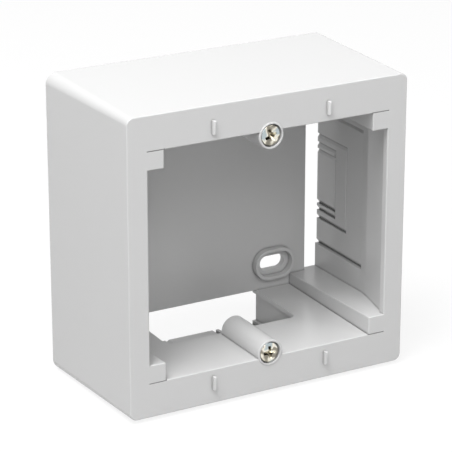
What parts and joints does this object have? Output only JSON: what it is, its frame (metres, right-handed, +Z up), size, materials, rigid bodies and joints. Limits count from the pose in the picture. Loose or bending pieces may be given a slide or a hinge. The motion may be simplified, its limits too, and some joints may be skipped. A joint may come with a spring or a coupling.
{
  "type": "surface mount box",
  "caption": "Square one-piece plastic surface mount box for a wiring accessory, with trunking knock-outs, cable passages, slotted wall fixings and accessory screws.",
  "frame": {"origin": "centre of the wall face, the plane that lies against the wall", "axes": "+X to the right, +Y into the wall, +Z up; the open front faces -Y"},
  "size_m": [0.0854, 0.0445, 0.0838],
  "materials": {
    "box_plastic": "glossy white injection moulding",
    "screw_steel": "bright nickel plated steel"
  },
  "bodies": {
    "box": {"surface_box": "box_plastic"},
    "upper_screw": {"upper_screw": "screw_steel"},
    "lower_screw": {"lower_screw": "screw_steel"}
  },
  "joints": [
    {"name": "upper_screw_travel", "type": "slide", "parent": "box", "child": "upper_screw", "axis": [0, -1, 0], "range_m": [0, 0.0175]},
    {"name": "lower_screw_travel", "type": "slide", "parent": "box", "child": "lower_screw", "axis": [0, -1, 0], "range_m": [0, 0.0175]}
  ]
}
